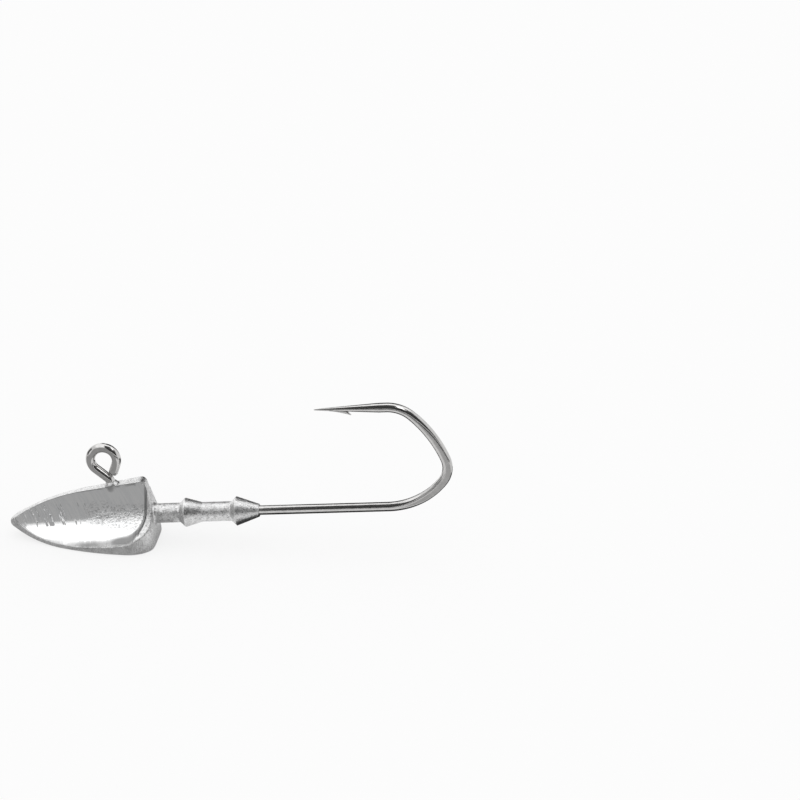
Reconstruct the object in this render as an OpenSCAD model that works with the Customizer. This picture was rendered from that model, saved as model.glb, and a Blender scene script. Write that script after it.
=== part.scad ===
// Jig head: a lead head with a bait keeper, cast in one around a bent wire hook.
// Every module below works along the hook's shank: X runs aft from the nose, Z up
// from the shank's centre line, Y across. standing() then pitches the whole thing so
// that the flat base lies level, with the origin in the base, under the head's middle.

/* [Cast head] */
// Length from the nose to the back of the stern
head_l = 22.8; // [20:0.1:26]
// Width across the sides
head_w = 11.6; // [9.5:0.1:13]
// Height of the ridge above the shank's centre line, at the stern
ridge_h = 6.1; // [5.6:0.1:6.8]
// Depth of the base below the shank's centre line, at the stern
base_depth = 4.5; // [4:0.1:5.4]
// Angle at which the ridge climbs towards the stern
ridge_rise = 8.8; // [7:0.1:11]
// Angle at which the shank climbs away from the level base
shank_rise = 4.5; // [3.5:0.1:6]
// Radius of the arc from the nose up to the ridge
brow_r = 32; // [26:0.5:38]
// Radius of the arc from the nose down to the base
chin_r = 24; // [20:0.5:30]
// Radius of the arc from the nose out to each side, seen from above
cheek_r = 34; // [28:0.5:40]
// Radius of the rounded nose
nose_r = 0.7; // [0.5:0.05:1]
// Depth of the nose below the shank's centre line
nose_drop = 0.6; // [0:0.05:0.8]

/* [Stern] */
// Radius of the stern's bulge, seen from the side
stern_side_r = 45; // [35:1:60]
// Depth of the bulge's aftmost point below the shank's centre line
stern_drop = 3; // [1.5:0.1:4]
// Angle at which the stern leans forward under the crest
stern_rake = 12; // [11:1:20]
// Height above the shank's centre line at which the stern starts to lean
rake_h = 3.2; // [2:0.1:3.8]
// Radius of the stern's bulge, seen from above
stern_plan_r = 17; // [13:0.5:24]
// Radius of the stern's upright corners
stern_corner_r = 3.8; // [3:0.1:4.4]
// Radius between the stern and the base
heel_r = 0.4; // [0.3:0.1:1.2]
// Radius between the stern and the ridge
crest_r = 0.8; // [0.4:0.1:1.2]

/* [Hollow sides] */
// Radius of the hollow in each side
hollow_r = 7.3; // [6.6:0.1:8.4]
// Least distance between the two hollows at the nose
hollow_nose_gap = 0.7; // [0.5:0.1:1.2]
// Least distance between the two hollows at the stern
hollow_stern_gap = 2; // [1.6:0.1:2.6]
// Height of the hollow's axis above the shank's centre line, at the nose
hollow_nose_h = 3.3; // [2.6:0.1:3.8]
// Height of the hollow's axis above the shank's centre line, at the stern
hollow_stern_h = 4.5; // [3.8:0.1:5]
// Width of the rim left standing between the hollow and the aftmost point of the stern
rim_w = 1; // [0.7:0.1:1.6]
// Height by which that rim stands proud of the hollow
rim_proud = 0.4; // [0.2:0.05:0.6]
// Radius of the hollow's lower aft corner, seen from the side
hollow_corner_r = 3.6; // [3:0.1:4.4]
// Depth of the hollow's lower edge below the shank's centre line, where it meets the rim
hollow_drop = 1.7; // [1.4:0.1:2.2]
// Angle at which that edge climbs towards the stern
hollow_climb = 9; // [6:1:12]

/* [Bait keeper] */
// Diameter of the neck and of the waist between the barbs
neck_d = 3; // [2.6:0.1:3.3]
// Length of the neck, from the aftmost point of the stern to the first barb
neck_l = 3.9; // [2.5:0.1:6]
// Largest diameter of each barb
barb_d = 4.5; // [3.9:0.1:5.2]
// Length over which each barb swells from the neck
barb_lead = 0.8; // [0.5:0.1:1.4]
// Length of the first barb's cone
barb_cone_l = 2.6; // [2:0.1:3.4]
// Length of the waist between the barbs
waist_l = 4.5; // [3.5:0.1:6]
// Length of the last barb's cone
tail_cone_l = 3.5; // [2.8:0.1:4.4]
// Diameter of the last barb's aft end
tail_d = 1.95; // [1.8:0.05:2.4]

/* [Hook wire] */
// Diameter of the wire
wire_d = 1.45; // [1.2:0.05:1.6]
// Distance from the nose to the end of the straight shank
shank_end = 58.6; // [52:0.5:66]
// Thickness of the bend, which is forged flat on both sides
forged_t = 1.2; // [1.05:0.05:1.2]
// Radius of the bend where it leaves the shank
heel_bend_r = 11.2; // [9:0.2:13]
// Turn of the bend where it leaves the shank
heel_bend_turn = 50; // [45:1:55]
// Radius of the tight bend behind the gape
back_bend_r = 3.8; // [3:0.1:5]
// Turn of the tight bend behind the gape
back_bend_turn = 59; // [54:1:64]
// Radius of the nearly straight rise behind the gape
rise_bend_r = 18.3; // [14:0.5:24]
// Turn of the nearly straight rise behind the gape
rise_bend_turn = 27; // [22:1:32]
// Radius of the bend into the point's arm
arm_bend_r = 5.3; // [4.5:0.1:6.5]
// Length of the arm between the bend and the point's taper
arm_l = 1.1; // [0.5:0.1:4]

/* [Point] */
// Length of the tapered point
point_l = 9.7; // [8:0.1:12]
// Diameter of the point's very tip
tip_d = 0.16; // [0.1:0.02:0.3]
// Distance from the tip to the start of the barb's cut
barb_start = 2.2; // [1.6:0.1:3]
// Distance from the tip to the end of the barb
barb_end = 5.5; // [5:0.1:6.6]
// Distance from the tip to the root of the notch under the barb
notch_root = 4.7; // [4:0.1:4.9]
// Height of the barb above the taper
barb_h = 0.6; // [0.4:0.05:0.8]
// Thickness of the barb
barb_t = 0.6; // [0.4:0.05:0.7]

/* [Line eye] */
// Width of the hole for the line
eye_hole = 2.55; // [2.1:0.05:3.1]
// Distance from the nose to the wire's elbow inside the head
elbow_x = 19.3; // [18.4:0.05:20]
// Radius of the wire's elbow inside the head
elbow_r = 2; // [1.6:0.1:2.6]
// Forward lean of the stem where it leaves the ridge, from square to the shank
stem_lean = 12; // [7:1:17]
// Straight length of the stem, most of it inside the head
stem_l = 4; // [3.6:0.05:4.6]
// Radius of the crank above the ridge
crank_r = 1.5; // [1.2:0.1:2]
// Forward lean of the wire between the crank and the eye
crank_lean = 47; // [42:0.5:52]
// Straight length of the wire between the crank and the eye
crank_l = 2.2; // [2:0.05:2.8]
// Angle that the wire wraps around the eye
eye_wrap = 250; // [236:1:256]
// Gap between the wire's end and the crank that it closes on
eye_gap = 0.1; // [0.05:0.05:0.3]

/* [Hidden] */
$fn = 64;

wire_r = wire_d / 2;
neck_r = neck_d / 2;
reach = 2 * head_l; // longer than anything that a mask has to cover
plan_proud = 0.15; // how far the plan outline overshoots nose and stern, whose reach the side outline sets
seam = 0.004; // how far a rounded corner, and the ball between two stretches of wire, stand proud

// Centres of the nose's and the stern's discs, seen from the side and from above
nose_side = [nose_r, -nose_drop];
nose_plan = [nose_r - plan_proud, 0];
dome_side = [head_l - stern_side_r, -stern_drop];
dome_plan = [head_l + plan_proud - stern_plan_r, 0];

// Depth of the base below the shank's centre line, under the head's middle
base_mid_depth = base_depth - head_l / 2 * tan(shank_rise);

// Keeper stations along the shank
barb_1 = head_l + neck_l;
waist = barb_1 + barb_lead + barb_cone_l;
barb_2 = waist + waist_l;

// Wire path
eye_r = (eye_hole + wire_d) / 2;
eye_tail_l = (eye_hole / 2 * (1 - cos(eye_wrap)) - eye_gap) / -sin(eye_wrap);
arm_bend_turn = 180 - heel_bend_turn - back_bend_turn - rise_bend_turn;
tip_r = tip_d / 2;

// Unit vector at an angle from the X axis
function unit(a) = [cos(a), sin(a)];
// Radius of the tapered point at a distance s from its tip
function taper_r(s) = tip_r + (wire_r - tip_r) * s / point_l;
// Length of a straight edge ahead of its point p, at the climb a, before the arc of radius r
// that runs down to touch the nose disc n takes over
function edge_run(p, a, r, n) =
    let (ahead = (p - n) * unit(a), inside = (p - n) * unit(a + 90))
    ahead - sqrt(pow(r - nose_r, 2) - pow(r - inside, 2));
// Centre of that arc
function arc_centre(p, a, r, n) = p - edge_run(p, a, r, n) * unit(a) - r * unit(a + 90);
// Centre of a disc of radius r that touches both an edge and the dome of radius big at q
function corner_centre(p, a, q, big, r) =
    let (ahead = (q - p) * unit(a), inside = (p - q) * unit(a + 90))
    p + (ahead + sqrt(pow(big - r, 2) - pow(inside - r, 2))) * unit(a) - r * unit(a + 90);
// Crossing of the line through p at the angle a with the line through q at the angle b
function crossing(p, a, q, b) = p + (q - p) * unit(b + 90) / (unit(a) * unit(b + 90)) * unit(a);
// Direction from a to b, as a unit vector
function toward(a, b) = (b - a) / norm(b - a);
// A flat point seen from the other side of the X axis
function flip(p) = [p[0], -p[1]];

// Everything under an edge that ends at p, climbs at a, and falls to the nose disc in an arc
module under_edge(p, a, r, n) {
    translate(p) rotate(a) translate([-edge_run(p, a, r, n), 0]) difference() {
        translate([-reach, -reach]) square([2 * reach, reach]);
        difference() {
            translate([-reach, -r]) square([reach, 2 * r]);
            translate([0, -r]) circle(r = r);
        }
    }
}

// Rounds a corner at a disc that touches its two edges, whose outward normals are n1 and n2
module rounded(c, r, n1, n2) {
    difference() {
        children();
        difference() {
            polygon([c, c + reach * n1, c + reach * (n1 + n2), c + reach * n2]);
            translate(c) circle(r = r + seam);
        }
    }
}

// Flat outline between an upper and a lower edge, each [point, climb, arc radius], with a round
// nose n and a domed stern, whose corners have the radii r_up and r_low
module outline(up, low, n, q, big, r_up, r_low) {
    c_up = corner_centre(up[0], up[1], q, big, r_up);
    c_low = flip(corner_centre(low[0], low[1], flip(q), big, r_low));
    rounded(n, nose_r, toward(arc_centre(up[0], up[1], up[2], n), n),
            flip(toward(arc_centre(low[0], low[1], low[2], flip(n)), flip(n))))
        rounded(c_up, r_up, unit(up[1] + 90), toward(q, c_up))
            rounded(c_low, r_low, flip(unit(low[1] + 90)), toward(q, c_low))
                intersection() {
                    under_edge(up[0], up[1], up[2], n);
                    mirror([0, 1]) under_edge(low[0], low[1], low[2], flip(n));
                    translate(q) circle(r = big);
                }
}

// Head seen from the side. The lower edge is given upside down, so its climb is the
// angle at which the base falls away from the shank towards the stern
module side_outline() {
    ridge = [head_l, ridge_h];
    rake_foot = dome_side + [sqrt(pow(stern_side_r, 2) - pow(rake_h + stern_drop, 2)), rake_h + stern_drop];
    crest = crossing(ridge - crest_r * unit(ridge_rise + 90), ridge_rise,
                     rake_foot - crest_r * unit(stern_rake), stern_rake + 90);
    rounded(crest, crest_r, unit(ridge_rise + 90), unit(stern_rake)) difference() {
        outline([ridge, ridge_rise, brow_r], [[head_l, base_depth], shank_rise, chin_r],
                nose_side, dome_side, stern_side_r, crest_r, heel_r);
        translate(rake_foot) rotate(stern_rake) translate([0, -reach]) square([reach, 2 * reach]);
    }
}

// Head seen from above
module plan_outline() {
    edge = [[head_l, head_w / 2], 0, cheek_r];
    outline(edge, edge, nose_plan, dome_plan, stern_plan_r, stern_corner_r, stern_corner_r);
}

// Outline that the hollow keeps to, seen from the side: its aft edge stands upright on the base
module hollow_outline() {
    rim = [head_l - rim_w, 0];
    edge = [head_l - rim_w, -hollow_drop];
    upright = 90 - shank_rise;
    foot = crossing(rim, upright, edge, hollow_climb);
    corner = crossing(rim - hollow_corner_r * unit(-shank_rise), upright,
                      edge + hollow_corner_r * unit(hollow_climb + 90), hollow_climb);
    rounded(corner, hollow_corner_r, unit(-shank_rise), unit(hollow_climb - 90))
        polygon([foot - 2 * reach * unit(hollow_climb), foot, foot + 2 * reach * unit(upright),
                 [-2 * reach, 2 * reach]]);
}

// Long cylinder of radius r that hollows one side of the head, along the ridge's edge
module side_cut(r) {
    fore = [0, hollow_nose_gap / 2 + hollow_r, hollow_nose_h];
    aft = [head_l, hollow_stern_gap / 2 + hollow_r, hollow_stern_h];
    run = aft - fore;
    yaw = atan2(run[1], run[0]);
    pitch = atan2(run[2], norm([run[0], run[1]]));
    translate(fore) rotate([0, 90 - pitch, yaw]) translate([0, 0, -reach]) cylinder(r = r, h = 3 * reach);
}

// Hollow in one side of the head, with the rim behind it
module side_hollow() {
    side_cut(hollow_r - rim_proud);
    intersection() {
        side_cut(hollow_r);
        rotate([90, 0, 0]) translate([0, 0, -head_w]) linear_extrude(2 * head_w) hollow_outline();
    }
}

// Solid head, before the wire's channel
module head_block() {
    difference() {
        intersection() {
            rotate([90, 0, 0]) translate([0, 0, -head_w]) linear_extrude(2 * head_w) side_outline();
            translate([0, 0, -reach]) linear_extrude(2 * reach) plan_outline();
        }
        side_hollow();
        mirror([0, 1, 0]) side_hollow();
    }
}

// Round stretch along the shank's centre line, from x to x + l, with a radius at each end
module turned(x, l, r1, r2) {
    translate([x, 0, 0]) rotate([0, 90, 0]) cylinder(r1 = r1, r2 = r2, h = l);
}

// Neck, two barbs and the waist between them
module keeper() {
    root = elbow_x;
    turned(root, barb_1 - root, neck_r, neck_r);
    turned(barb_1, barb_lead, neck_r, barb_d / 2);
    turned(barb_1 + barb_lead, barb_cone_l, barb_d / 2, neck_r);
    turned(waist, waist_l, neck_r, neck_r);
    turned(barb_2, barb_lead, neck_r, barb_d / 2);
    turned(barb_2 + barb_lead, tail_cone_l, barb_d / 2, tail_d / 2);
}

// Wire bent left by a degrees, or right where a is negative, at the radius r
module bend(r, a) {
    mirror([0, a < 0 ? 1 : 0, 0])
        translate([0, r, 0]) rotate(-90) rotate_extrude(angle = abs(a)) translate([r, 0]) circle(r = wire_r);
}

// Wire that runs along X and follows steps of [straight length, bend radius, turn]; what is
// given to it sits at its end
module wire(steps, i = 0) {
    if (i < len(steps)) {
        l = steps[i][0];
        r = steps[i][1];
        a = steps[i][2];
        if (l > 0) rotate([0, 90, 0]) cylinder(r = wire_r, h = l);
        if (i > 0) sphere(r = wire_r + seam);
        translate([l, 0, 0]) {
            if (a != 0) bend(r, a);
            translate([r * sin(abs(a)), sign(a) * r * (1 - cos(a)), 0]) rotate(a) wire(steps, i + 1) children();
        }
    }
    else {
        children();
    }
}

// Tapered point along X, with its barb on the left, towards the shank
module point() {
    rotate([0, 90, 0]) cylinder(r1 = wire_r, r2 = tip_r, h = point_l);
    translate([point_l, 0, -barb_t / 2]) linear_extrude(barb_t)
        polygon([[-barb_start, 0], [-barb_start, taper_r(barb_start)], [-barb_end, taper_r(barb_end) + barb_h],
                 [-notch_root, 0]]);
}

// Hook from the elbow inside the head aft along the shank, around the bend and to the point
module hook_run() {
    wire([[shank_end - elbow_x, heel_bend_r, heel_bend_turn], [0, back_bend_r, back_bend_turn],
          [0, rise_bend_r, rise_bend_turn], [0, arm_bend_r, arm_bend_turn], [arm_l, 0, 0]])
        point();
}

// Wire from the elbow up through the ridge and around the line eye
module eye_run() {
    wire([[0, elbow_r, stem_lean - 90], [stem_l, crank_r, crank_lean - stem_lean],
          [crank_l, eye_r, -eye_wrap], [eye_tail_l, 0, 0]]);
}

// Both runs, before the bend is forged
module bent_wire() {
    translate([elbow_x, 0, 0]) rotate([90, 0, 0]) {
        hook_run();
        rotate(180) eye_run();
    }
}

// What the forging takes off the two sides of the bend
module forging_off() {
    for (side = [0, 1])
        mirror([0, side, 0])
            translate([shank_end, forged_t / 2, -reach / 2]) cube([reach, wire_d, 2 * reach]);
}

// Sets the part on its base: the shank climbs aft, and the base lies at height 0
module standing() {
    rotate([0, -shank_rise, 0]) translate([-head_l / 2, 0, base_mid_depth]) children();
}

module cast_head() {
    color("gainsboro") standing() difference() {
        union() {
            head_block();
            keeper();
        }
        bent_wire();
    }
}

module hook() {
    color("dimgray") standing() difference() {
        bent_wire();
        forging_off();
    }
}

cast_head();
hook();
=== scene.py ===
"""Looks of a jig head: a bright lead casting around a black-nickel hook wire, on a pale floor.

Shapes are worked out in the hook's own lines: X aft from the nose, Z up from the shank's centre
line, Y across. Standing.stand() then pitches them the way the part stands on its flat base.
"""

import logging
import math
from dataclasses import dataclass
from enum import Enum

import bpy
import numpy as np
from mathutils import Matrix


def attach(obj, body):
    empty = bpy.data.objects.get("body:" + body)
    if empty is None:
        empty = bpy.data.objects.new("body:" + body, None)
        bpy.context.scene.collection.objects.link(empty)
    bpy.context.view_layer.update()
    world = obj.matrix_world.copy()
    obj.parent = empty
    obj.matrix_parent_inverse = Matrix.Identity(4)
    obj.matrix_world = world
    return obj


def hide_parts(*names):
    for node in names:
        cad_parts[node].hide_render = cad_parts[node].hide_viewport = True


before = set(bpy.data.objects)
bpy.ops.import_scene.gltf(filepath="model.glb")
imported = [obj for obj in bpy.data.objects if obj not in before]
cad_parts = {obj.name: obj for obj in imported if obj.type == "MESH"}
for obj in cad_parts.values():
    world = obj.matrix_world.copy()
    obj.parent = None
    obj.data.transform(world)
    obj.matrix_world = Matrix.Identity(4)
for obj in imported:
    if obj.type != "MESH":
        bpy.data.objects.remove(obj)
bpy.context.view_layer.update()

LOG = logging.getLogger("jig_head")
MM = 0.001
Array = np.ndarray
Mesh = tuple[Array, list[Array]]
Pair = tuple[float, float]
Triple = tuple[float, float, float]


class Mask(Enum):
    """Point attributes that say how far a vertex belongs to a region of the casting."""

    BRIGHT = "bright"
    # Band along the step behind each hollow, which the casting's colour darkens as painted shade.
    STEP_SHADE = "step_shade"


def unit(angle: float) -> Array:
    """Unit vector at an angle in degrees from the first axis."""
    return np.array([math.cos(math.radians(angle)), math.sin(math.radians(angle))])


def smooth_max(a: Array, b: Array, r: Array | float, turn: float = 90) -> Array:
    """The larger of two signed distances, with the corner between them rounded.

    The round is a circle of radius r that touches both surfaces. From its centre, a place lies
    A = a + r along one normal and B = b + r along the other. Between the two normals, the
    distance to the centre is the root of A A + B B less twice A B times the cosine of the
    angle between the normals, over its sine.

    Args:
        a: First signed distance, negative inside.
        b: Second signed distance.
        r: Radius of the round.
        turn: Angle between the two surfaces' normals, in degrees.

    Returns:
        Signed distance to the rounded overlap of the two solids.
    """
    cosine, sine = unit(turn)
    at_a, at_b = a + r, b + r
    between = (at_a > at_b * cosine) & (at_b > at_a * cosine)
    square = np.maximum(at_a * at_a + at_b * at_b - 2 * at_a * at_b * cosine, 0)
    return np.where(between, np.sqrt(square) / sine - r, np.maximum(a, b))


def smooth_min(a: Array, b: Array, r: Array | float) -> Array:
    """The smaller of two signed distances, with a fillet of radius r between them."""
    return -smooth_max(-a, -b, r)


def soft_max(a: Array, b: Array, r: float) -> Array:
    """The larger of two nearly level distances, raised by (r - |a - b|) squared over 4 r."""
    return np.maximum(a, b) + np.maximum(r - np.abs(a - b), 0) ** 2 / (4 * r)


def smooth_step(x: Array, low: float, high: float) -> Array:
    """Ramp from 0 at low to 1 at high, level at both ends: 3 t squared less 2 t cubed."""
    t = np.clip((x - low) / (high - low), 0, 1)
    return t * t * (3 - 2 * t)


def grid_faces(rows: int, columns: int) -> Array:
    """Quads of a grid whose columns run round in a loop.

    Args:
        rows: Number of loops.
        columns: Number of points in each loop.

    Returns:
        Corner indices, one row for each quad.
    """
    i, j = np.meshgrid(np.arange(rows - 1) * columns, np.arange(columns), indexing="ij")
    k = (j + 1) % columns
    return np.stack([i + j, i + k, i + columns + k, i + columns + j], -1).reshape(-1, 4)


def capped_tube(loops: Array, start: Array, end: Array) -> Mesh:
    """Closes a stack of loops with a pole at each end.

    Args:
        loops: Points as [loop, point, axis], turning left about the way that the loops advance.
        start: Pole before the first loop.
        end: Pole after the last loop.

    Returns:
        All vertices, and the quads and triangles that join them.
    """
    rows, columns = loops.shape[:2]
    points = np.concatenate([loops.reshape(-1, 3), [start, end]])
    first, last = rows * columns, rows * columns + 1
    j = np.arange(columns)
    k = (j + 1) % columns
    last_loop = (rows - 1) * columns
    fore = np.stack([np.full(columns, first), k, j], -1)
    aft = np.stack([np.full(columns, last), last_loop + j, last_loop + k], -1)
    return points, [grid_faces(rows, columns), fore, aft]


def joined(parts: list[Mesh]) -> Mesh:
    """Puts closed surfaces together as one mesh.

    Args:
        parts: Vertices and faces of each surface.

    Returns:
        All vertices, and all faces with their indices moved along.
    """
    points, faces, count = [], [], 0
    for own_points, own_faces in parts:
        points.append(own_points)
        faces += [own + count for own in own_faces]
        count += len(own_points)
    return np.concatenate(points), faces


def make_piece(name: str, points: Array, faces: list[Array]) -> bpy.types.Object:
    """Makes a smooth-shaded mesh object at the origin.

    Args:
        name: Name of the piece.
        points: Vertices in metres, in the part's frame.
        faces: Arrays of quads and triangles.

    Returns:
        The new object, linked to the scene.
    """
    corners = np.concatenate([own.reshape(-1) for own in faces]).astype(np.int32)
    sizes = np.concatenate([np.full(len(own), own.shape[1]) for own in faces]).astype(np.int32)
    mesh = bpy.data.meshes.new(name)
    mesh.vertices.add(len(points))
    mesh.vertices.foreach_set("co", points.astype(np.float32).reshape(-1))
    mesh.loops.add(len(corners))
    mesh.loops.foreach_set("vertex_index", corners)
    mesh.polygons.add(len(sizes))
    mesh.polygons.foreach_set("loop_start", (np.cumsum(sizes) - sizes).astype(np.int32))
    mesh.polygons.foreach_set("use_smooth", np.ones(len(sizes), bool))
    mesh.update(calc_edges=True)
    mesh.validate()
    piece = bpy.data.objects.new(name, mesh)
    bpy.context.scene.collection.objects.link(piece)
    return piece


def add_mask(piece: bpy.types.Object, mask: Mask, values: Array) -> None:
    """Stores one number for each vertex, for a material to read."""
    layer = piece.data.attributes.new(mask.value, "FLOAT", "POINT")
    layer.data.foreach_set("value", values.astype(np.float32))


@dataclass(frozen=True)
class Standing:
    """How the part stands: the shank climbs aft, and the base lies at height 0."""

    shank_rise: float = 4.5
    base_depth: float = 4.5 * MM
    head_l: float = 22.8 * MM

    @property
    def axis_height(self) -> float:
        """Depth of the base below the shank's centre line, under the head's middle."""
        return self.base_depth - self.head_l / 2 * math.tan(math.radians(self.shank_rise))

    def stand(self, points: Array) -> Array:
        """Moves points from the shank's lines to the part's frame: a shift, then the pitch.

        Args:
            points: Places as [..., axis] in the shank's lines.

        Returns:
            The same places in the part's frame.
        """
        c, s = unit(self.shank_rise)
        x, z = points[..., 0] - self.head_l / 2, points[..., 2] + self.axis_height
        return np.stack([x * c - z * s, points[..., 1], x * s + z * c], -1)


@dataclass(frozen=True)
class HookWire:
    """The bent wire, from its cut end at the eye, through the head and round to the point."""

    standing: Standing = Standing()
    wire_d: float = 1.45 * MM
    elbow_x: float = 19.3 * MM
    elbow_r: float = 2 * MM
    stem_lean: float = 12
    stem_l: float = 4 * MM
    crank_r: float = 1.5 * MM
    crank_lean: float = 47
    crank_l: float = 2.2 * MM
    eye_hole: float = 2.55 * MM
    eye_wrap: float = 250
    eye_gap: float = 0.1 * MM
    shank_end: float = 58.6 * MM
    heel_bend: Pair = (11.2 * MM, 50)
    back_bend: Pair = (3.8 * MM, 59)
    rise_bend: Pair = (18.3 * MM, 27)
    arm_bend_r: float = 5.3 * MM
    arm_l: float = 1.1 * MM
    point_l: float = 9.7 * MM
    point_power: float = 0.92
    tip_d: float = 0.16 * MM
    cut_rim: float = 0.12 * MM
    cut_draw: float = 0.16
    forged_t: float = 1.2 * MM
    forged_growth: float = 0.06
    forged_shoulder: float = 1.25
    forge_in: Pair = (-0.5 * MM, 6.5 * MM)
    forge_out: Pair = (1.5 * MM, 10 * MM)
    barb_start: float = 2.2 * MM
    barb_end: float = 5.5 * MM
    barb_h: float = 0.6 * MM
    barb_t: float = 0.62 * MM
    barb_power: float = 1.4
    barb_thinning: float = 0.45
    barb_bury: float = 0.2
    notch_root: float = 4.7 * MM
    barb_tips: Pair = (0.02, 0.04)
    straight_spacing: float = 0.28 * MM
    bend_spacing: float = 0.14 * MM
    least_steps: tuple[int, int] = (2, 6)
    point_rows: int = 90
    around: int = 56
    barb_rows: int = 48
    barb_around: int = 24

    @property
    def wire_r(self) -> float:
        """Radius of the wire."""
        return self.wire_d / 2

    @property
    def stem_foot(self) -> Array:
        """End of the elbow, where the straight stem starts."""
        c, s = unit(90 - self.stem_lean)
        return np.array([self.elbow_x - self.elbow_r * s, self.elbow_r * (1 - c)])

    def trace(self, steps: list[Triple]) -> tuple[Array, Array]:
        """Follows straight lengths and bends in the hook's plane.

        Each step is a straight length, a bend radius and a turn in degrees. The heading grows
        evenly along each bend, and a place is the sum of the headings' unit vectors times the
        distance between samples, each corrected for the chord of its own turn.

        Args:
            steps: Lengths, radii and turns, in order.

        Returns:
            Places as [sample, axis], and headings in radians.
        """
        runs, turns = [], []
        for length, radius, turn in steps:
            if length > 0:
                n = max(self.least_steps[0], round(length / self.straight_spacing))
                runs.append(np.full(n, length / n))
                turns.append(np.zeros(n))
            if turn:
                arc = math.radians(abs(turn)) * radius
                n = max(self.least_steps[1], round(arc / self.bend_spacing))
                runs.append(np.full(n, arc / n))
                turns.append(np.full(n, math.radians(turn) / n))
        run, turn = np.concatenate(runs), np.concatenate(turns)
        heading = np.concatenate([[0], np.cumsum(turn)])
        middle = heading[:-1] + turn / 2
        chord = run * np.sinc(turn / (2 * np.pi))
        step = np.stack([np.cos(middle), np.sin(middle)], -1) * chord[:, None]
        return np.concatenate([[[0, 0]], np.cumsum(step, 0)]), heading

    def path(self) -> tuple[Array, Array, Array]:
        """Centre line of the whole wire, from the eye's cut end to the tip.

        The eye's last straight stretch ends where its gap to the wire below is eye_gap.

        Returns:
            Places in the shank's X and Z, headings in radians, and the distance to the tip.
        """
        wrap = math.radians(self.eye_wrap)
        eye_tail = (self.eye_hole / 2 * (1 - math.cos(wrap)) - self.eye_gap) / -math.sin(wrap)
        eye, eye_heading = self.trace([
            (0, self.elbow_r, self.stem_lean - 90),
            (self.stem_l, self.crank_r, self.crank_lean - self.stem_lean),
            (self.crank_l, (self.eye_hole + self.wire_d) / 2, -self.eye_wrap),
            (eye_tail, 0, 0),
        ])
        rest = 180 - self.heel_bend[1] - self.back_bend[1] - self.rise_bend[1]
        hook, heading = self.trace([
            (self.shank_end - self.elbow_x, *self.heel_bend), (0, *self.back_bend),
            (0, *self.rise_bend), (0, self.arm_bend_r, rest), (self.arm_l, 0, 0),
        ])
        along = np.array([math.cos(heading[-1]), math.sin(heading[-1])])
        point = np.linspace(0, 1, self.point_rows)[1:, None] * self.point_l * along
        heading = np.concatenate([heading, np.full(len(point), heading[-1])])
        places = np.concatenate([-eye[:0:-1], hook, hook[-1] + point]) + [self.elbow_x, 0]
        steps = np.hypot(*np.diff(places, axis=0).T)
        to_tip = np.concatenate([np.cumsum(steps[::-1])[::-1], [0]])
        return places, np.concatenate([eye_heading[:0:-1], heading]), to_tip

    def tube(self) -> Mesh:
        """Wire as loops about its centre line.

        A loop is a circle of the wire's radius, narrowed in the point in proportion to a power
        of the distance from the tip. Where the bend is forged, the circle's width across is
        held to the forged thickness, with soft shoulders, and its height grows a little to keep
        the section's area. The cut end at the eye is drawn in over a small round.

        Returns:
            Vertices and faces.
        """
        places, headings, to_tip = self.path()
        tip_r = self.tip_d / 2
        taper = np.clip(to_tip / self.point_l, 0, 1) ** self.point_power
        from_cut = np.clip((to_tip[0] - to_tip) / self.cut_rim, 0, 1)
        drawn = 1 - self.cut_draw * (1 - np.sqrt(1 - (1 - from_cut) ** 2))
        r = ((tip_r + (self.wire_r - tip_r) * taper) * drawn)[:, None]
        forged = self.forging(places, to_tip)[:, None]
        turn = np.linspace(0, 2 * np.pi, self.around, endpoint=False)
        across, up = np.cos(turn)[None], np.sin(turn)[None]
        flat, soft = self.forged_t / self.wire_d, self.forged_shoulder
        kept = flat * np.tanh(across / flat * soft) / np.tanh(soft / flat)
        y = (across + (kept - across) * forged) * r
        up = up * (1 + self.forged_growth * forged) * r
        c, s = np.cos(headings)[:, None], np.sin(headings)[:, None]
        loops = np.stack([places[:, :1] - s * up, y, places[:, 1:] + c * up], -1)
        ends = np.stack([places[[0, -1], 0], [0, 0], places[[0, -1], 1]], -1)
        ahead = np.array([c[-1, 0], 0, s[-1, 0]])
        return capped_tube(loops, ends[0], ends[1] + ahead * tip_r)

    def forging(self, places: Array, to_tip: Array) -> Array:
        """Share of the forging that each sample has, from 0 on round wire to 1 on the bend.

        Args:
            places: Samples of the centre line.
            to_tip: Distance of each sample to the tip.

        Returns:
            The shares.
        """
        shank_end = np.argmin(np.abs(places[:, 0] - self.shank_end) + np.abs(places[:, 1]))
        into = smooth_step(to_tip[shank_end] - to_tip, *self.forge_in)
        return into * smooth_step(to_tip - self.point_l - self.arm_l, *self.forge_out)

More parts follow.
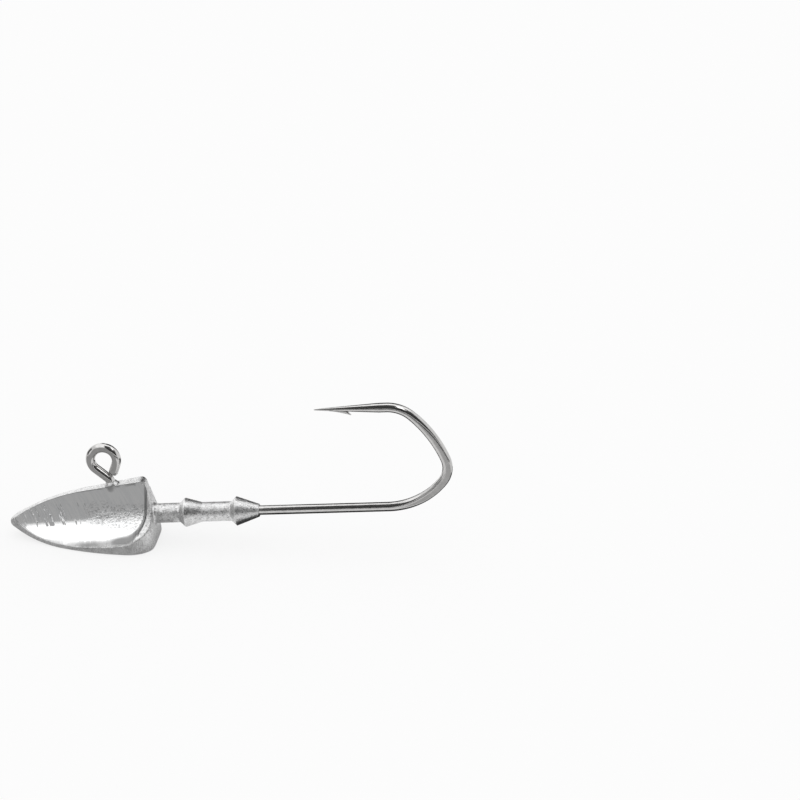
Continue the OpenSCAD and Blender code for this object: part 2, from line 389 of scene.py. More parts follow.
    def barb(self) -> Mesh:
        """The barb: a wedge raised from the taper, on the side of the shank.

        Its loops are ovals across the hook's plane. Their far side leaves the taper's skin in a
        shallow curve, in proportion to a power of the way along. Their near side stays inside
        the wire up to the notch, and then climbs in a straight line to meet the far side.

        Returns:
            Vertices and faces.
        """
        places, headings, _ = self.path()
        t = np.linspace(self.barb_tips[0], 1, self.barb_rows)[:, None]
        back = self.barb_start + (self.barb_end - self.barb_start) * t
        skin = self.tip_d / 2 + (self.wire_r - self.tip_d / 2) * back / self.point_l
        far = skin + self.barb_h * t ** self.barb_power
        notch = (self.notch_root - self.barb_start) / (self.barb_end - self.barb_start)
        open_by = np.clip((1 - t) / (1 - notch), self.barb_tips[1], 1)
        near = far - (far - skin * self.barb_bury) * open_by
        turn = np.linspace(0, 2 * np.pi, self.barb_around, endpoint=False)[None]
        side = -self.barb_t / 2 * (1 - self.barb_thinning * t) * np.cos(turn)
        down = (near + far) / 2 + (far - near) / 2 * np.sin(turn)
        along = np.array([math.cos(headings[-1]), math.sin(headings[-1])])
        inward = np.array([-along[1], along[0]])
        flat = places[-1] - back[..., None] * along + down[..., None] * inward
        loops = np.stack([flat[..., 0], side, flat[..., 1]], -1)
        return capped_tube(loops, loops[0].mean(0), loops[-1].mean(0))

    def build(self, finish: "WireFinish") -> bpy.types.Object:
        """Makes the wire, dresses it and puts it on the part.

        Args:
            finish: The wire's finish.

        Returns:
            The piece.
        """
        points, faces = joined([self.tube(), self.barb()])
        piece = make_piece("hook_wire", self.standing.stand(points), faces)
        piece.data.materials.append(finish.material())
        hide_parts("hook")
        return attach(piece, "root")


@dataclass(frozen=True)
class Edge:
    """An edge of a flat outline: straight aft, then an arc that touches the nose's disc."""

    aft: Pair
    climb: float
    r: float
    nose: Pair
    nose_r: float

    @property
    def centre(self) -> Array:
        """Centre of the arc, which touches the straight stretch and, from inside, the disc.

        Returns:
            Its place in the outline's plane.
        """
        along, out = unit(self.climb), unit(self.climb + 90)
        off = np.subtract(self.aft, self.nose)
        run = off @ along - math.sqrt((self.r - self.nose_r) ** 2 - (self.r - off @ out) ** 2)
        return np.array(self.aft) - run * along - self.r * out

    def measure(self, x: Array, z: Array) -> tuple[Array, Array]:
        """Distance of each place outside the edge, and ahead of where the disc takes over.

        Args:
            x, z: Places along and across the outline.

        Returns:
            Distance to the edge's line where a place is aft of the arc, else to the arc, and
            distance ahead of the line from the arc's centre through the disc's.
        """
        along, out, centre = unit(self.climb), unit(self.climb + 90), self.centre
        straight = (x - self.aft[0]) * out[0] + (z - self.aft[1]) * out[1]
        is_aft = (x - centre[0]) * along[0] + (z - centre[1]) * along[1] > 0
        outside = np.where(is_aft, straight, np.hypot(x - centre[0], z - centre[1]) - self.r)
        normal = np.subtract(self.nose, centre)
        normal /= np.linalg.norm(normal)
        return outside, (x - self.nose[0]) * -normal[1] + (z - self.nose[1]) * normal[0]


@dataclass(frozen=True)
class Outline:
    """Flat outline between two edges that meet at a round nose. The lower one is upside down."""

    upper: Edge
    lower: Edge

    def distance(self, x: Array, z: Array) -> Array:
        """Distance of each place outside the outline.

        Args:
            x, z: Places along and across the outline.

        Returns:
            Distance to the disc at the nose, else to the nearer edge.
        """
        disc = np.hypot(x - self.upper.nose[0], z - self.upper.nose[1]) - self.upper.nose_r
        edges, ahead = zip(self.upper.measure(x, z), self.lower.measure(x, -z))
        return np.where(np.minimum(*ahead) > 0, disc, np.maximum(*edges))


@dataclass(frozen=True)
class Rays:
    """Rows of rays that start inside the casting, and how they crowd towards its corners."""

    nose_l: float = 5 * MM
    nose_first: float = 0.02
    nose_rows: int = 52
    body_end: float = 16 * MM
    body_rows: int = 78
    apex_back: float = 0.9 * MM
    rear_rows: int = 80
    fan_outer: tuple[float, float, int] = (60, 6.4, 12)
    fan_inner: tuple[float, float, int] = (6.2, 1.75, 52)
    fan_back: float = 0.95 * MM
    walk_l: float = 1.35 * MM
    walk_rows: int = 14
    keeper_gap: float = 0.06 * MM
    keeper_rows: int = 106
    reach: float = 13 * MM
    halvings: int = 40
    probes: int = 361
    smoothing: int = 9
    least_ridge: float = 0.06
    least_hollow: float = 0.3
    least_side: float = 0.1
    least_base: float = 0.3
    hollow_to_base: float = 0.5
    columns: tuple[int, ...] = (12, 56, 18, 18)
    crowding: float = 0.7

    def stations(self, head_l: float, keeper_end: float) -> tuple[Array, Array]:
        """Where the rays start along the shank, and their angle from it.

        They stand square to the shank up to the apex, crowded towards the nose. There they fan
        out over the stern, at the angle whose tangent is a falling radius over the apex's
        distance from the stern, while the last of them walk aft to the neck and stand up again.

        Args:
            head_l: Length of the head.
            keeper_end: Distance from the nose to the end of the keeper.

        Returns:
            Distances from the nose, and angles in radians.
        """
        apex, upright = head_l - self.apex_back, np.pi / 2
        nose = self.nose_l * np.linspace(self.nose_first, 1, self.nose_rows) ** 2
        body = np.linspace(nose[-1], self.body_end, self.body_rows)[1:]
        rear = np.linspace(body[-1], apex, self.rear_rows)[1:]
        radii = np.concatenate([np.geomspace(*self.fan_outer), np.linspace(*self.fan_inner)])
        fan = np.arctan2(radii * MM, self.fan_back)
        walk = np.linspace(0, 1, self.walk_rows)[1:]
        neck = apex + walk * self.walk_l
        keeper = np.linspace(neck[-1], keeper_end - self.keeper_gap, self.keeper_rows)[1:]
        square = np.full(len(nose) + len(body) + len(rear), upright)
        standing_up = fan[-1] + (upright - fan[-1]) * walk
        starts = np.concatenate([nose, body, rear, np.full(len(fan), apex), neck, keeper])
        angles = [square, fan, standing_up, np.full(len(keeper), upright)]
        return starts, np.concatenate(angles)

    def turns(self, corners: Array) -> Array:
        """Angles of all rays about the shank, crowded towards each section's corners.

        Between two corners, the share of the way at u is u less a crowding times
        sin(2 pi u) / (2 pi).

        Args:
            corners: Angles of the corners, as [station, corner].

        Returns:
            Angles as [station, ray], from straight up to straight down.
        """
        ends = np.zeros((len(corners), 1))
        bounds = np.concatenate([ends, corners, ends + np.pi], 1)
        turns = []
        for i, count in enumerate(self.columns):
            u = np.arange(count) / count
            share = u - self.crowding * np.sin(2 * np.pi * u) / (2 * np.pi)
            low, high = bounds[:, i:i + 1], bounds[:, i + 1:i + 2]
            turns.append(low + share * (high - low))
        return np.concatenate([*turns, bounds[:, -1:]], 1)


@dataclass(frozen=True)
class Casting:
    """The head and its bait keeper, cast in one around the wire.

    The head is the overlap of its side outline, its outline from above and what the two
    hollows leave, with every edge rounded. The keeper is turned about the shank.
    """

    standing: Standing = Standing()
    wire: HookWire = HookWire()
    rays: Rays = Rays()
    head_w: float = 11.6 * MM
    ridge_h: float = 6.1 * MM
    ridge_rise: float = 8.8
    brow_r: float = 32 * MM
    chin_r: float = 24 * MM
    cheek_r: float = 34 * MM
    nose_r: float = 0.7 * MM
    nose_drop: float = 0.6 * MM
    stern_side_r: float = 45 * MM
    stern_drop: float = 3 * MM
    stern_rake: float = 12
    rake_h: float = 3.2 * MM
    rake_blend: float = 0.12 * MM
    stern_plan_r: float = 17 * MM
    plan_proud: float = 0.15 * MM
    stern_corner_r: float = 3.8 * MM
    stern_corner_turn: float = 78
    heel_r: float = 0.4 * MM
    crest_r: float = 0.8 * MM
    hollow_r: float = 7.3 * MM
    hollow_nose: Pair = (0.7 * MM, 3.3 * MM)
    hollow_stern: Pair = (2 * MM, 4.5 * MM)
    rim_w: float = 1 * MM
    rim_proud: float = 0.4 * MM
    hollow_corner_r: float = 3.6 * MM
    hollow_drop: float = 1.7 * MM
    hollow_climb: float = 9
    edge_r: float = 0.16 * MM
    nose_edge_r: float = 0.35 * MM
    nose_edge_l: float = 4 * MM
    rim_r: float = 0.2 * MM
    step_shade_w: float = 0.36 * MM
    step_shade_fade: Pair = (-1.2 * MM, 0.4 * MM)
    bright_fade: Pair = (-0.04 * MM, 0.1 * MM)
    keeper_root: float = 15 * MM
    neck_d: float = 3 * MM
    neck_l: float = 3.9 * MM
    neck_fillet_r: float = 0.45 * MM
    barb_d: float = 4.5 * MM
    barb_lead: float = 0.8 * MM
    barb_cone_l: float = 2.6 * MM
    barb_crest_r: float = 0.16 * MM
    waist_l: float = 4.5 * MM
    tail_cone_l: float = 3.5 * MM
    tail_d: float = 1.95 * MM
    tail_round: tuple[Pair, ...] = ((0.015 * MM, 0.02 * MM), (0, 0.08 * MM))
    tail_overlap: float = 0.1 * MM
    collar_w: float = 0.3 * MM
    collar_h: float = 0.75 * MM
    collar_r: float = 0.25 * MM

    @property
    def head_l(self) -> float:
        """Length from the nose to the back of the stern."""
        return self.standing.head_l

    @property
    def barb_starts(self) -> Pair:
        """Distances from the nose to the two barbs."""
        first = self.head_l + self.neck_l
        return first, first + self.barb_lead + self.barb_cone_l + self.waist_l

    @property
    def keeper_end(self) -> float:
        """Distance from the nose to the end of the last barb."""
        return self.barb_starts[1] + self.barb_lead + self.tail_cone_l

    def side(self, x: Array, z: Array) -> Array:
        """Signed distance to the head's outline from the side, domed and raked at the stern.

        Args:
            x, z: Places in the shank's lines.

        Returns:
            The distances.
        """
        stand, length, r = self.standing, self.head_l, self.nose_r
        low, high = (r, self.nose_drop), (r, -self.nose_drop)
        base = Edge((length, stand.base_depth), stand.shank_rise, self.chin_r, low, r)
        ridge = Edge((length, self.ridge_h), self.ridge_rise, self.brow_r, high, r)
        centre = length - self.stern_side_r
        dome = np.hypot(x - centre, z + self.stern_drop) - self.stern_side_r
        rise = self.rake_h + self.stern_drop
        foot = centre + math.sqrt(self.stern_side_r ** 2 - rise ** 2)
        lean = unit(self.stern_rake)
        rake = (x - foot) * lean[0] + (z - self.rake_h) * lean[1]
        corner = np.where(z > 0, self.crest_r, self.heel_r)
        outline = Outline(ridge, base).distance(x, z)
        return smooth_max(outline, soft_max(rake, dome, self.rake_blend), corner)

    def plan(self, x: Array, y: Array) -> Array:
        """Signed distance to the head's outline from above.

        Args:
            x, y: Places in the shank's lines.

        Returns:
            The distances.
        """
        nose = (self.nose_r - self.plan_proud, 0)
        edge = Edge((self.head_l, self.head_w / 2), 0, self.cheek_r, nose, self.nose_r)
        centre = self.head_l + self.plan_proud - self.stern_plan_r
        dome = np.hypot(x - centre, y) - self.stern_plan_r
        outline = Outline(edge, edge).distance(x, y)
        return smooth_max(outline, dome, self.stern_corner_r, self.stern_corner_turn)

    def inside_hollow(self, x: Array, y: Array, z: Array) -> Array:
        """Depth of each place inside the long cylinder that hollows its side of the head.

        Args:
            x, y, z: Places in the shank's lines.

        Returns:
            The depths, which are the cylinder's radius less the distance to its axis.
        """
        ends = [np.array([at, gap / 2 + self.hollow_r, height]) for at, (gap, height)
                in ((0, self.hollow_nose), (self.head_l, self.hollow_stern))]
        run = (ends[1] - ends[0]) / np.linalg.norm(ends[1] - ends[0])
        off = np.stack([x, np.abs(y), z], -1) - ends[0]
        off = off - (off @ run)[..., None] * run
        return self.hollow_r - np.linalg.norm(off, axis=-1)

    def inside_rim(self, x: Array, z: Array) -> Array:
        """Distance of each place inside the outline that a hollow's full depth keeps to.

        Args:
            x, z: Places in the shank's lines.

        Returns:
            Distances from the outline's upright aft edge and its climbing lower edge.
        """
        back, down = unit(-self.standing.shank_rise), unit(self.hollow_climb - 90)
        past = x - self.head_l + self.rim_w
        aft = past * back[0] + z * back[1]
        low = past * down[0] + (z + self.hollow_drop) * down[1]
        turn = 90 - self.standing.shank_rise - self.hollow_climb
        return -smooth_max(aft, low, self.hollow_corner_r, turn)

    def walls(self, x: Array, y: Array, z: Array) -> tuple[Array, Array, Array]:
        """Signed distances to the head's block, to a hollow's full depth and to its rim.

        Args:
            x, y, z: Places in the shank's lines.

        Returns:
            The three distances.
        """
        at_nose = 1 - smooth_step(x, 0, self.nose_edge_l)
        edge_r = self.edge_r + (self.nose_edge_r - self.edge_r) * at_nose
        block = smooth_max(self.side(x, z), self.plan(x, y), edge_r)
        depth = self.inside_hollow(x, y, z)
        deep = smooth_min(depth, self.inside_rim(x, z), self.rim_r)
        return block, deep, depth - self.rim_proud

    def keeper_radius(self, x: Array) -> Array:
        """Radius of the keeper at a distance from the nose.

        Each barb is the lesser of a steep rise and a long fall, rounded at its crest, and the
        keeper's radius is the greatest of the barbs and the neck.

        Args:
            x: Places aft of the nose.

        Returns:
            The radii.
        """
        neck, crest = self.neck_d / 2, self.barb_d / 2
        rise = (crest - neck) / self.barb_lead
        falls = ((crest - neck) / self.barb_cone_l, (crest - self.tail_d / 2) / self.tail_cone_l)
        radius = np.where(x > self.barb_starts[1] + self.barb_lead, 0, neck)
        for start, fall in zip(self.barb_starts, falls):
            leading = neck + (x - start) * rise
            trailing = crest - (x - start - self.barb_lead) * fall
            radius = np.maximum(radius, smooth_min(leading, trailing, self.barb_crest_r))
        return radius

    def collar(self, x: Array, y: Array, z: Array) -> Array:
        """Signed distance to the bead of lead that climbs the stem where it leaves the ridge.

        Args:
            x, y, z: Places in the shank's lines.

        Returns:
            Distance to a round bead about the stem, squashed to its height.
        """
        lean, foot = unit(90 + self.wire.stem_lean), self.wire.stem_foot
        off = np.hypot((x - foot[0]) * lean[1] - (z - foot[1]) * lean[0], y)
        ridge = self.ridge_h + (x - self.head_l) * math.tan(math.radians(self.ridge_rise))
        width = self.wire.wire_r + self.collar_w
        return np.hypot(off, (z - ridge) * width / self.collar_h) - width

    def distance(self, x: Array, y: Array, z: Array) -> Array:
        """Signed distance to the casting, with fillets at the neck and at the stem's collar.

        Args:
            x, y, z: Places in the shank's lines.

        Returns:
            The distances.
        """
        block, deep, rim = self.walls(x, y, z)
        head = smooth_max(block, np.maximum(deep, rim), self.edge_r)
        keeper = np.maximum(np.hypot(y, z) - self.keeper_radius(x), self.keeper_root - x)
        body = smooth_min(head, keeper, self.neck_fillet_r)
        return smooth_min(body, self.collar(x, y, z), self.collar_r)

    def cast(self, x: Array, z: Array, angle: Array, turn: Array) -> Array:
        """Places where rays from inside first leave the casting, by halving their length.

        Args:
            x, z: Distance aft and height of each row's start.
            angle: Angle of each row from the shank.
            turn: Angle of each ray about the shank, from straight up.

        Returns:
            Places as [row, ray, axis].
        """
        x, z, angle = x[:, None], z[:, None], angle[:, None]
        c, s = np.cos(angle), np.sin(angle)
        way = np.stack(np.broadcast_arrays(c, -s * np.sin(turn), s * np.cos(turn)), -1)
        start = np.stack(np.broadcast_arrays(x, 0, z), -1)
        near, far = np.zeros(way.shape[:-1]), np.full(way.shape[:-1], self.rays.reach)
        for _ in range(self.rays.halvings):
            middle = (near + far) / 2
            place = start + middle[..., None] * way
            out = self.distance(place[..., 0], place[..., 1], place[..., 2]) > 0
            near, far = np.where(out, near, middle), np.where(out, middle, far)
        return start + near[..., None] * way

    def corners(self, x: Array, z: Array, angle: Array) -> Array:
        """Angles about the shank at which a section turns a corner.

        A coarse ring of rays finds, for every row, which wall each place belongs to. The
        corners are where the hollow starts below the ridge, where it ends and where the base
        starts. They are smoothed along the head, and kept in order.

        Args:
            x, z: Distance aft and height of each row's start.
            angle: Angle of each row from the shank.

        Returns:
            Angles from straight up as [row, corner].
        """
        rays = self.rays
        turn = np.linspace(0, np.pi, rays.probes)
        place = self.cast(x, z, angle, turn[None])
        block, deep, rim = self.walls(place[..., 0], place[..., 1], place[..., 2])
        hollow = np.maximum(deep, rim) > block
        base = self.side(place[..., 0], place[..., 2]) > self.plan(place[..., 0], place[..., 1])
        base = base & (turn > np.pi / 2) & ~hollow
        window = np.full(rays.smoothing, 1 / rays.smoothing)
        found = []
        for inside, angles in ((hollow, turn), (hollow[:, ::-1], turn[::-1]), (base, turn)):
            known = np.flatnonzero(inside.any(1))
            corner = angles[np.argmax(inside[known], 1)]
            filled = np.interp(np.arange(len(x)), known, corner)
            padded = np.pad(filled, rays.smoothing // 2, "edge")
            found.append(np.convolve(padded, window, "valid"))
        first = np.maximum(found[0], rays.least_ridge)
        last = np.clip(found[1], first + rays.least_hollow, np.pi - rays.hollow_to_base)
        under = np.clip(found[2], last + rays.least_side, np.pi - rays.least_base)
        return np.stack([first, last, under], -1)

    def closing(self, loop: Array) -> Array:
        """Loops that turn in over the tail's edge and end inside the wire.

        Args:
            loop: The last loop of the keeper.

        Returns:
            Loops as [loop, point, axis].
        """
        round_by = loop[:, 1:] / np.hypot(loop[:, 1:2], loop[:, 2:])
        sizes = [(back, self.tail_d / 2 - inward) for back, inward in self.tail_round]
        sizes.append((0, self.wire.wire_r - self.tail_overlap))
        return np.stack([np.insert(round_by * r, 0, self.keeper_end - back, axis=1)
                         for back, r in sizes])

    def surface(self) -> Mesh:
        """The whole skin, as loops of rays.

        Returns:
            Vertices and faces, in the shank's lines.
        """
        x, angle = self.rays.stations(self.head_l, self.keeper_end)
        z = -self.nose_drop * (1 - smooth_step(x, 0, self.rays.nose_l))
        half = self.cast(x, z, angle, self.rays.turns(self.corners(x, z, angle)))
        loops = np.concatenate([half, half[:, -2:0:-1] * [1, -1, 1]], 1)
        loops = np.concatenate([loops, self.closing(loops[-1])])
        nose, tail = np.array([0, 0, -self.nose_drop]), np.array([self.keeper_end, 0, 0])
        return capped_tube(loops, nose, tail)

    def masks(self, points: Array) -> dict[Mask, Array]:
        """How far each vertex belongs to a bright hollow and to the band of painted shade along
        the step behind it.

        Args:
            points: Vertices in the shank's lines.

        Returns:
            Shares from 0 to 1 for each mask.
        """
        x, y, z = points.T
        block, deep, rim = self.walls(x, y, z)
        # A band along the aft step of each hollow, which the colour darkens as painted shade.
        off = np.abs(self.inside_rim(x, z) - self.step_shade_w / 2)
        step = smooth_step(-off, -self.step_shade_w, -self.step_shade_w / 3)
        return {Mask.BRIGHT: smooth_step(deep - np.maximum(block, rim), *self.bright_fade),
                Mask.STEP_SHADE: step * smooth_step(rim - block, *self.step_shade_fade)}

    def build(self, finish: "CastFinish") -> bpy.types.Object:
        """Makes the casting, dresses it and puts it on the part.

        Args:
            finish: The casting's finish.

        Returns:
            The piece.
        """
        points, faces = self.surface()
        piece = make_piece("lead_casting", self.standing.stand(points), faces)
        for mask, values in self.masks(points).items():
            add_mask(piece, mask, values)
        piece.data.materials.append(finish.material())
        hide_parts("cast_head")
        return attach(piece, "root")


def grey(level: float, warmth: float = 0) -> tuple[float, float, float, float]:
    """Grey colour with a little more red and less blue, or the reverse."""
    return level * (1 + warmth), level, level * (1 - warmth), 1


@dataclass(frozen=True)
class Value:
    """A number from a socket, which takes part in arithmetic by adding Math nodes."""

    shader: "Shader"
    socket: bpy.types.NodeSocket

    def math(self, operation: str, *others: "Value | float") -> "Value":
        """Adds a Math node that works on this value and others."""
        inputs = dict(enumerate((self, *others)))
        return self.shader.add("Math", {"operation": operation}, inputs)

    def __add__(self, other: "Value | float") -> "Value":
        """Sum."""
        return self.math("ADD", other)

    def __sub__(self, other: "Value | float") -> "Value":
        """Difference."""
        return self.math("SUBTRACT", other)

    def __mul__(self, other: "Value | float") -> "Value":
        """Product."""
        return self.math("MULTIPLY", other)

    def __rsub__(self, other: float) -> "Value":
        """Difference from a number."""
        return self.shader.add("Math", {"operation": "SUBTRACT"}, {0: other, 1: self})

    __radd__ = __add__
    __rmul__ = __mul__

    def ramp(self, low: float, high: float) -> "Value":
        """Smooth step from 0 at low to 1 at high, which may be the lesser."""
        return self.shader.add("MapRange", {"interpolation_type": "SMOOTHSTEP"},
                               {"Value": self, "From Min": low, "From Max": high})

    def within(self, other: "Value", one: Pair, two: Pair) -> "Value":
        """Product with two smooth steps of another value."""
        return self * other.ramp(*one) * other.ramp(*two)


@dataclass(frozen=True)
class Grain:
    """A noise: its grains to a unit, its finer layers, how strong they are and its stretch."""

    scale: float
    detail: float
    roughness: float
    stretch: Triple = (1, 1, 1)
    turn: float = 0


class Shader:
    """A material's nodes."""

    def __init__(self, name: str) -> None:
        """Starts an empty material.

        Args:
            name: Name of the material.
        """
        self.material = bpy.data.materials.new(name)
        self.material.use_nodes = True
        self.tree = self.material.node_tree
        self.tree.nodes.clear()

    def add(self, kind: str, settings: dict[str, object] | None = None,
            inputs: dict[str | int, object] | None = None, output: str | int = 0) -> Value:
        """Adds a node.

        Args:
            kind: Type of the node, without its prefix.
            settings: Properties of the node, which are set first.
            inputs: Values or links of its sockets, by name or number.
            output: Name or number of the socket to hand back.

        Returns:
            That socket.
        """
        node = self.tree.nodes.new(f"ShaderNode{kind}")
        for name, value in (settings or {}).items():
            setattr(node, name, value)
        for name, value in (inputs or {}).items():
            if isinstance(value, Value):
                self.tree.links.new(value.socket, node.inputs[name])
            else:
                node.inputs[name].default_value = value
        return Value(self, node.outputs[output])

    def mask(self, mask: Mask) -> Value:
        """Share that a place has of a mask."""
        return self.add("Attribute", {"attribute_name": mask.value}, output="Fac")

    def place(self, stretch: Triple = (1, 1, 1), turn: float = 0) -> Value:
        """Object coordinates in millimetres.

        Args:
            stretch: How many times denser they run along each turned axis.
            turn: Angle by which they are turned about Y, in degrees.

        Returns:
            A vector.
        """
        start = self.add("TexCoord", output="Object")
        turned = self.add("VectorRotate", {"rotation_type": "Y_AXIS"},
                          {"Vector": start, "Angle": math.radians(turn)})
        scale = [times / MM for times in stretch]
        return self.add("VectorMath", {"operation": "MULTIPLY"}, {0: turned, 1: scale})

    def split(self, vector: Value) -> tuple[Value, Value, Value]:
        """X, Y and Z of a vector."""
        node = self.add("SeparateXYZ", None, {0: vector}).socket.node
        return tuple(Value(self, output) for output in node.outputs)

    def noise(self, grain: Grain) -> Value:
        """Noise from 0 to 1 in millimetres."""
        return self.add("TexNoise", {"normalize": True}, {
            "Vector": self.place(grain.stretch, grain.turn), "Scale": grain.scale,
            "Detail": grain.detail, "Roughness": grain.roughness})

    def mix(self, factor: Value, a: object, b: object) -> Value:
        """Mix of two colours."""
        return self.add("Mix", {"data_type": "RGBA"}, {0: factor, 6: a, 7: b}, 2)

    def blend(self, factor: Value | float, a: Value, b: Value) -> Value:
        """Mix of two surfaces."""
        return self.add("MixShader", None, {0: factor, 1: a, 2: b})

    def glow(self, level: float) -> Value:
        """Grey emission of strength 1."""
        return self.add("Emission", None, {"Color": grey(level), "Strength": 1.0})

    def metal(self, colour: Value, rough: Value, height: Value, relief: float) -> Value:
        """A metal, raised by a height times a relief.

        Args:
            colour: Its colour.
            rough: Its roughness.
            height: Its height, about 0 to 1.
            relief: How far a height of 1 raises it.

        Returns:
            The surface.
        """
        normal = self.add("Bump", None,
                          {"Height": height, "Distance": relief, "Strength": 1.0})
        return self.add("BsdfPrincipled", None, {
            "Base Color": colour, "Metallic": 1.0, "Roughness": rough, "Normal": normal})

    def finish(self, surface: Value) -> bpy.types.Material:
        """Hands a surface to the output.

        Args:
            surface: The surface.

        Returns:
            The material.
        """
        output = self.tree.nodes.new("ShaderNodeOutputMaterial")
        self.tree.links.new(surface.socket, output.inputs["Surface"])
        return self.material


@dataclass(frozen=True)
class CastFinish:
    """Cast lead: rough and mottled on the skin, near mirror-bright in the hollows.

    The hollows are scratched on a slant towards the nose and frosted towards the stern. A dark
    line of painted shade runs along their edges and, wider, along the step behind them. Places
    are in millimetres from the part's middle, and a pair gives where a change starts and ends.
    """

    skin_levels: Pair = (0.546, 0.784)
    skin_at: Pair = (0.75, 1.25)
    skin_roughness: float = 0.3
    skin_unevenness: float = 0.3
    skin_relief: Pair = (1.2, 0.8)
    bright_levels: Pair = (0.8, 0.752)
    bright_coolness: float = -0.008
    bright_at: Pair = (0.4, 0.62)
    bright_roughness: float = 0.13
    bright_unevenness: float = 0.06
    bright_relief: Triple = (0.02, 1.3, 1.2)
    # Dark grey towards which the painted shade along the edges and the step, and the frost spots,
    # are mixed.
    shade_and_frost_level: float = 0.12
    painted_edge_shade: float = 0.55
    painted_step_shade: float = 0.8
    spot_dullness: float = 0.45
    most_shade_and_frost: float = 0.85
    mottle: Grain = Grain(1.3, 5, 0.6)
    grain: Grain = Grain(4.5, 4, 0.65)
    fine: Grain = Grain(2.6, 3, 0.7, (1, 1, 1.3))
    brush: Grain = Grain(1, 2, 0.6, (4.2, 0.5, 0.38), 30)
    cuts: Grain = Grain(1, 1, 0.4, (2.1, 0.3, 0.26), 30)
    cut_at: Pair = (0.55, 0.62)
    cut_slope: float = 0.13
    cut_x: tuple[Pair, Pair] = ((2, -0.5), (-9.5, -8))
    cut_z: tuple[Pair, Pair] = ((6.6, 5.2), (3, 3.7))
    spot_at: Pair = (0.5, 0.62)
    frost_x: Pair = (-0.5, 3)
    frost_z: tuple[Pair, Pair] = ((7, 5.8), (2.6, 3.4))
    relief: float = 0.05 * MM

    def material(self) -> bpy.types.Material:
        """Makes the material.

        Returns:
            The material.
        """
        shader = Shader("cast_lead")
        bright, step_shade = shader.mask(Mask.BRIGHT), shader.mask(Mask.STEP_SHADE)
        # Painted shade: a thin dark outline that peaks where the bright hollows meet the skin.
        edge = (bright - bright * bright) * 4
        x, _, z = shader.split(shader.place())
        grains = (self.mottle, self.grain, self.fine, self.brush, self.cuts)
        mottle, grain, fine, brush, cuts = (shader.noise(one) for one in grains)
        cut = cuts.ramp(*self.cut_at).within(x, *self.cut_x)
        scratch = cut.within(z - x * self.cut_slope, *self.cut_z)
        frosted = x.ramp(*self.frost_x).within(z, *self.frost_z)
        skin = shader.mix((mottle + grain).ramp(*self.skin_at), *map(grey, self.skin_levels))
        mirror = shader.mix(brush.ramp(*self.bright_at), grey(self.bright_levels[0]),
                            grey(self.bright_levels[1], self.bright_coolness))
        spots = fine.ramp(*self.spot_at) * frosted * self.spot_dullness
        # Painted shade along the hollows' edges and the step behind them, plus the frost's darker
        # spots, mixed towards dark grey.
        shade_and_frost = (edge * self.painted_edge_shade + step_shade * self.painted_step_shade + spots).math(
            "MINIMUM", self.most_shade_and_frost)
        colour = shader.mix(shade_and_frost, shader.mix(bright, skin, mirror), grey(self.shade_and_frost_level))
        skin_rough = self.skin_roughness + (grain - 0.5) * self.skin_unevenness
        bright_rough = self.bright_roughness + (brush - 0.5) * self.bright_unevenness
        rough = (1 - bright) * skin_rough + bright * bright_rough
        by_grain, by_mottle = self.skin_relief
        by_brush, by_scratch, by_frost = self.bright_relief
        frost = (fine - 0.5) * frosted
        height = (1 - bright) * (grain * by_grain + mottle * by_mottle) + bright * (
            brush * by_brush + scratch * by_scratch + frost * by_frost)
        return shader.finish(shader.metal(colour, rough, height, self.relief))


@dataclass(frozen=True)
class WireFinish:
    """Black-nickel plating: dark, smooth and faintly olive."""

    levels: Pair = (0.58, 0.4988)
    level_at: Pair = (0.35, 0.7)
    warmth: float = 0.012
    roughness: float = 0.13
    unevenness: float = 0.04
    wear: Grain = Grain(1.1, 4, 0.6)
    fine: Grain = Grain(9, 2, 0.5)
    relief: float = 0.002 * MM

    def material(self) -> bpy.types.Material:
        """Makes the material.

        Returns:
            The material.
        """
        shader = Shader("black_nickel")
        wear, fine = shader.noise(self.wear), shader.noise(self.fine)
        new, worn = (grey(level, self.warmth) for level in self.levels)
        colour = shader.mix(wear.ramp(*self.level_at), new, worn)
        rough = self.roughness + (fine - 0.5) * self.unevenness
        return shader.finish(shader.metal(colour, rough, fine, self.relief))


@dataclass(frozen=True)
class Card:
    """A reflection card, in millimetres: metal shows it, and nothing else does.

    It lies flat, is tilted about X, and is then turned about Z.
    """

    name: str
    centre: Triple
    size: Pair
    tilt: float
    level: float
    turn: float = 0

    def build(self) -> None:
        """Makes the card."""
        half = np.array(self.size) * MM / 2
        u = np.array([-1, 1, 1, -1]) * half[0]
        v = np.array([-1, -1, 1, 1]) * half[1]
        c, s = unit(self.tilt)
        ahead, side = unit(self.turn)
        corners = np.stack([u * ahead - v * c * side, u * side + v * c * ahead, v * s], -1)
        corners = corners + np.array(self.centre) * MM
        card = make_piece(self.name, corners, [np.array([[0, 1, 2, 3]])])
        shader = Shader(self.name)
        card.data.materials.append(shader.finish(shader.glow(self.level)))
        for ray in ("camera", "diffuse", "shadow", "transmission", "volume_scatter"):
            setattr(card, f"visible_{ray}", False)


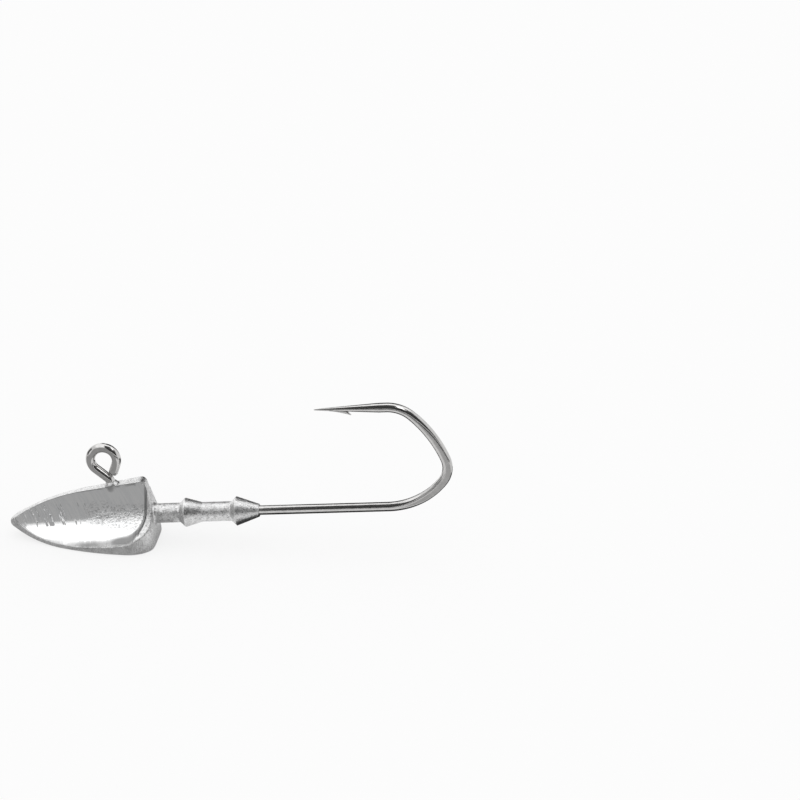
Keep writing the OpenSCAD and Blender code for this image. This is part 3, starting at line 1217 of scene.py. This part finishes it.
@dataclass(frozen=True)
class Studio:
    """Pale floor, white surroundings and the cards that shape the gloss."""

    floor_r: float = 1.5
    floor_sides: int = 96
    floor_drop: float = 0.05 * MM
    floor_level: float = 0.9
    floor_shading: float = 0.25
    world_level: float = 1.0
    cards: tuple[Card, ...] = (
        Card("card_top", (20, -40, 150), (300, 250), 0, 1.5),
        Card("card_front_wire", (76, -63, 65), (148, 146), 46, 0.06),
        Card("card_front_head", (-35, -84, 26.5), (86, 64), 64, 0.42),
        Card("card_floor_head", (-32, -54, -0.02), (92, 120), 0, 0.42),
        Card("card_floor_wire", (79, -84, -0.02), (142, 64), 0, 0.08),
        Card("card_floor_bend", (62, -34, -0.02), (26, 52), 0, 0.58),
        Card("card_floor_arm", (42, -46, -0.02), (14, 28), 0, 0.58),
        Card("card_behind_wire", (44, 120, 98), (100, 210), 90, 0.05),
        Card("card_behind_eye", (-21, 120, 75), (18, 154), 90, 0.08),
        Card("card_behind_head", (-65, 126, 95), (110, 190), 90, 1.25),
        Card("card_under", (50, 13, -0.02), (54, 36), 0, 0.05),
        Card("card_left", (-150, 10, 40), (150, 90), 90, 0.15, 90),
        Card("card_glint", (75, -27, 94), (24, 50), 46, 3),
        Card("card_lip", (-75, 145, 150), (50, 120), 0, 1.5),
    )

    def paper(self) -> bpy.types.Material:
        """The floor's material: diffuse, and mostly white to the camera and to gloss.

        Returns:
            The material.
        """
        shader = Shader("floor_paper")
        lit = shader.add("BsdfDiffuse", None, {"Color": grey(self.floor_level)})
        camera = shader.add("LightPath", output="Is Camera Ray")
        outputs = camera.socket.node.outputs
        glossy, through = (Value(shader, outputs[f"Is {kind} Ray"])
                           for kind in ("Glossy", "Transmission"))
        seen = (camera + glossy + through).math("MINIMUM", 1.0)
        white = shader.blend(seen, lit, shader.glow(1))
        return shader.finish(shader.blend(self.floor_shading, white, lit))

    def build(self) -> None:
        """Makes the floor, the world and the cards."""
        turn = np.linspace(0, 2 * np.pi, self.floor_sides, endpoint=False)
        level = np.full(self.floor_sides, -self.floor_drop)
        rim = np.stack([self.floor_r * np.cos(turn), self.floor_r * np.sin(turn), level], -1)
        floor = make_piece("floor", rim, [np.arange(self.floor_sides)[None]])
        floor.data.materials.append(self.paper())
        world = bpy.data.worlds.new("studio")
        world.use_nodes = True
        bpy.context.scene.world = world
        back = world.node_tree.nodes["Background"]
        back.inputs["Color"].default_value = grey(self.world_level)
        back.inputs["Strength"].default_value = 1.0
        for card in self.cards:
            card.build()


@dataclass(frozen=True)
class View:
    """The camera, which stands off to the side of its line of sight."""

    azimuth: float = 5.5
    elevation: float = 24
    distance: float = 384.67 * MM
    focus: float = 2500
    offset: Pair = (-314.2, 136.09)
    picture: int = 800
    sensor: float = 36
    clip: Pair = (0.01, 10)

    def build(self) -> None:
        """Makes the camera."""
        (c, s), (level, rise) = unit(self.azimuth), unit(self.elevation)
        back = np.array([s * level, -c * level, rise])
        right = np.array([c, s, 0])
        up = np.cross(back, right)
        shift = (up * self.offset[1] - right * self.offset[0]) / self.focus
        data = bpy.data.cameras.new("camera")
        data.sensor_width = self.sensor
        data.lens = self.focus * self.sensor / self.picture
        data.clip_start, data.clip_end = self.clip
        camera = bpy.data.objects.new("camera", data)
        matrix = np.eye(4)
        matrix[:3, :3] = np.stack([right, up, back], -1)
        matrix[:3, 3] = self.distance * (back + shift)
        camera.matrix_world = Matrix(matrix)
        bpy.context.scene.collection.objects.link(camera)
        bpy.context.scene.camera = camera


def main() -> None:
    """Builds the camera, the studio, the wire and the casting in order, and logs their vertex and
    face counts.
    """
    logging.basicConfig(level=logging.INFO, format="%(name)s: %(message)s")
    bpy.context.scene.view_settings.view_transform = "Standard"
    View().build()
    Studio().build()
    for piece in (HookWire().build(WireFinish()), Casting().build(CastFinish())):
        mesh = piece.data
        LOG.info("%s: %d vertices, %d faces", piece.name, len(mesh.vertices), len(mesh.polygons))


if __name__ == "__main__":
    main()
